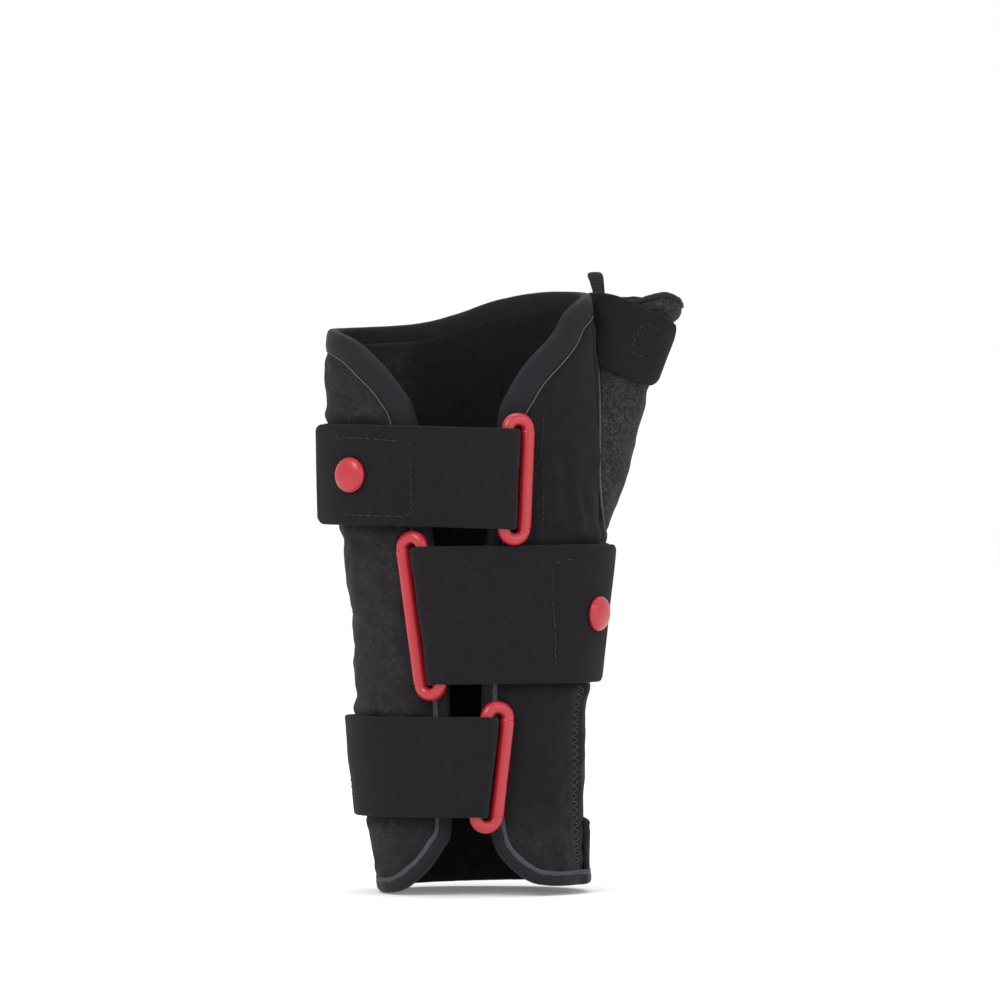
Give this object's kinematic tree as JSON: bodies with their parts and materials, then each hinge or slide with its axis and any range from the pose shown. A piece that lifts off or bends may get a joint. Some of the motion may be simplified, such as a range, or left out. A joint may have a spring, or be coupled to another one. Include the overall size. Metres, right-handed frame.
{
  "type": "thumb spica splint",
  "caption": "Padded wrist and thumb splint, shown as worn: an open-backed wrap drawn together by straps that turn back through loops, with a strapped thumb sleeve.",
  "frame": {"origin": "middle of the wrist, inside the wrap", "axes": "+Z along the arm to the fingers, +X to the thumb's side, -Y out of the back of the hand"},
  "size_m": [0.1202, 0.069, 0.2028],
  "materials": {
    "plush": "black brushed loop plush",
    "knit": "black and grey speckled knit",
    "binding": "smooth black edge tape",
    "strap": "black brushed webbing",
    "red_plastic": "satin red plastic"
  },
  "bodies": {
    "root": {"hand_binding": "binding", "forearm_binding": "binding", "radial_panel": "plush", "palmar_panel": "plush", "ulnar_panel": "plush", "thumb_sheath": "knit", "thumb_binding": "binding", "pocket_flap": "plush", "upper_strap": "strap", "upper_loop": "red_plastic", "upper_rivet": "red_plastic", "middle_strap": "strap", "middle_loop": "red_plastic", "middle_rivet": "red_plastic", "lower_strap": "strap", "lower_loop": "red_plastic", "lower_rivet": "red_plastic", "thumb_strap": "strap"}
  },
  "joints": []
}
